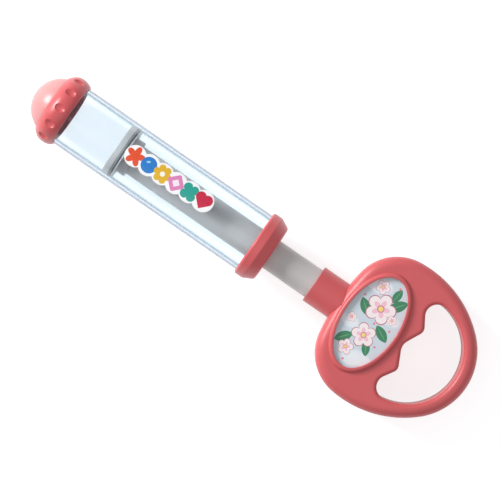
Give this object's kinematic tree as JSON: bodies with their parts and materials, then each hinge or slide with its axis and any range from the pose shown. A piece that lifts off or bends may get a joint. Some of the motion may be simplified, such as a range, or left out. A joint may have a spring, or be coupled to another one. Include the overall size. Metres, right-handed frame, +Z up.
{
  "type": "water squirt toy",
  "caption": "Hand-pumped water squirt toy: clear barrel, domed nozzle with a screw-on grip ring, sliding plunger and a flat loop handle with an oval badge.",
  "frame": {"origin": "on the table under the middle of the toy's box, with the toy lying on its grip ring", "axes": "+X along the toy from the nozzle to the handle, +Z up out of the badge's face, +Y across the toy"},
  "size_m": [0.3212, 0.0968, 0.046],
  "materials": {
    "coral_plastic": "satin moulded coral plastic",
    "coral_soft": "smooth lighter coral soft plastic",
    "clear_plastic": "clear polished plastic with a faint aqua tint",
    "white_plastic": "greyish white moulded plastic",
    "seal_rubber": "light grey silicone rubber",
    "screw_steel": "plated steel",
    "badge_print": "printed card, pale blue ground",
    "sticker_print": "printed vinyl film with a white border"
  },
  "bodies": {
    "barrel": {"barrel_tube": "clear_plastic", "end_cap": "coral_plastic", "nozzle_gasket": "seal_rubber", "barrel_sticker": "sticker_print"},
    "nozzle": {"nozzle_dome": "coral_soft"},
    "ring": {"nozzle_ring": "coral_plastic"},
    "seal": {"piston_seal": "seal_rubber"},
    "plunger": {"piston_head": "white_plastic", "plunger_rod": "white_plastic", "rod_plug": "white_plastic", "rod_screw": "screw_steel", "rod_socket": "coral_plastic", "handle_front_shell": "coral_plastic", "handle_back_shell": "coral_plastic", "handle_screws": "screw_steel", "badge_card": "badge_print", "badge_bezel": "coral_plastic"}
  },
  "joints": [
    {"name": "plunger_slide", "type": "slide", "parent": "barrel", "child": "seal", "axis": [1, 0, 0], "range_m": [-0.0315, 0.099]},
    {"name": "plunger_turn", "type": "hinge", "parent": "seal", "child": "plunger", "pos_m": [0, 0, 0.02301], "axis": [1, 0, 0], "continuous": true},
    {"name": "nozzle_advance", "type": "slide", "parent": "barrel", "child": "nozzle", "axis": [-1, 0, 0], "range_m": [0, 0.00451]},
    {"name": "ring_turn", "type": "hinge", "parent": "nozzle", "child": "ring", "pos_m": [-0.14065, 0, 0.02301], "axis": [-1, 0, 0], "range_deg": [0, 540]}
  ],
  "couplings": [
    {"joint": "nozzle_advance", "follows": "ring_turn", "m_per_rad": 0.00047746}
  ]
}
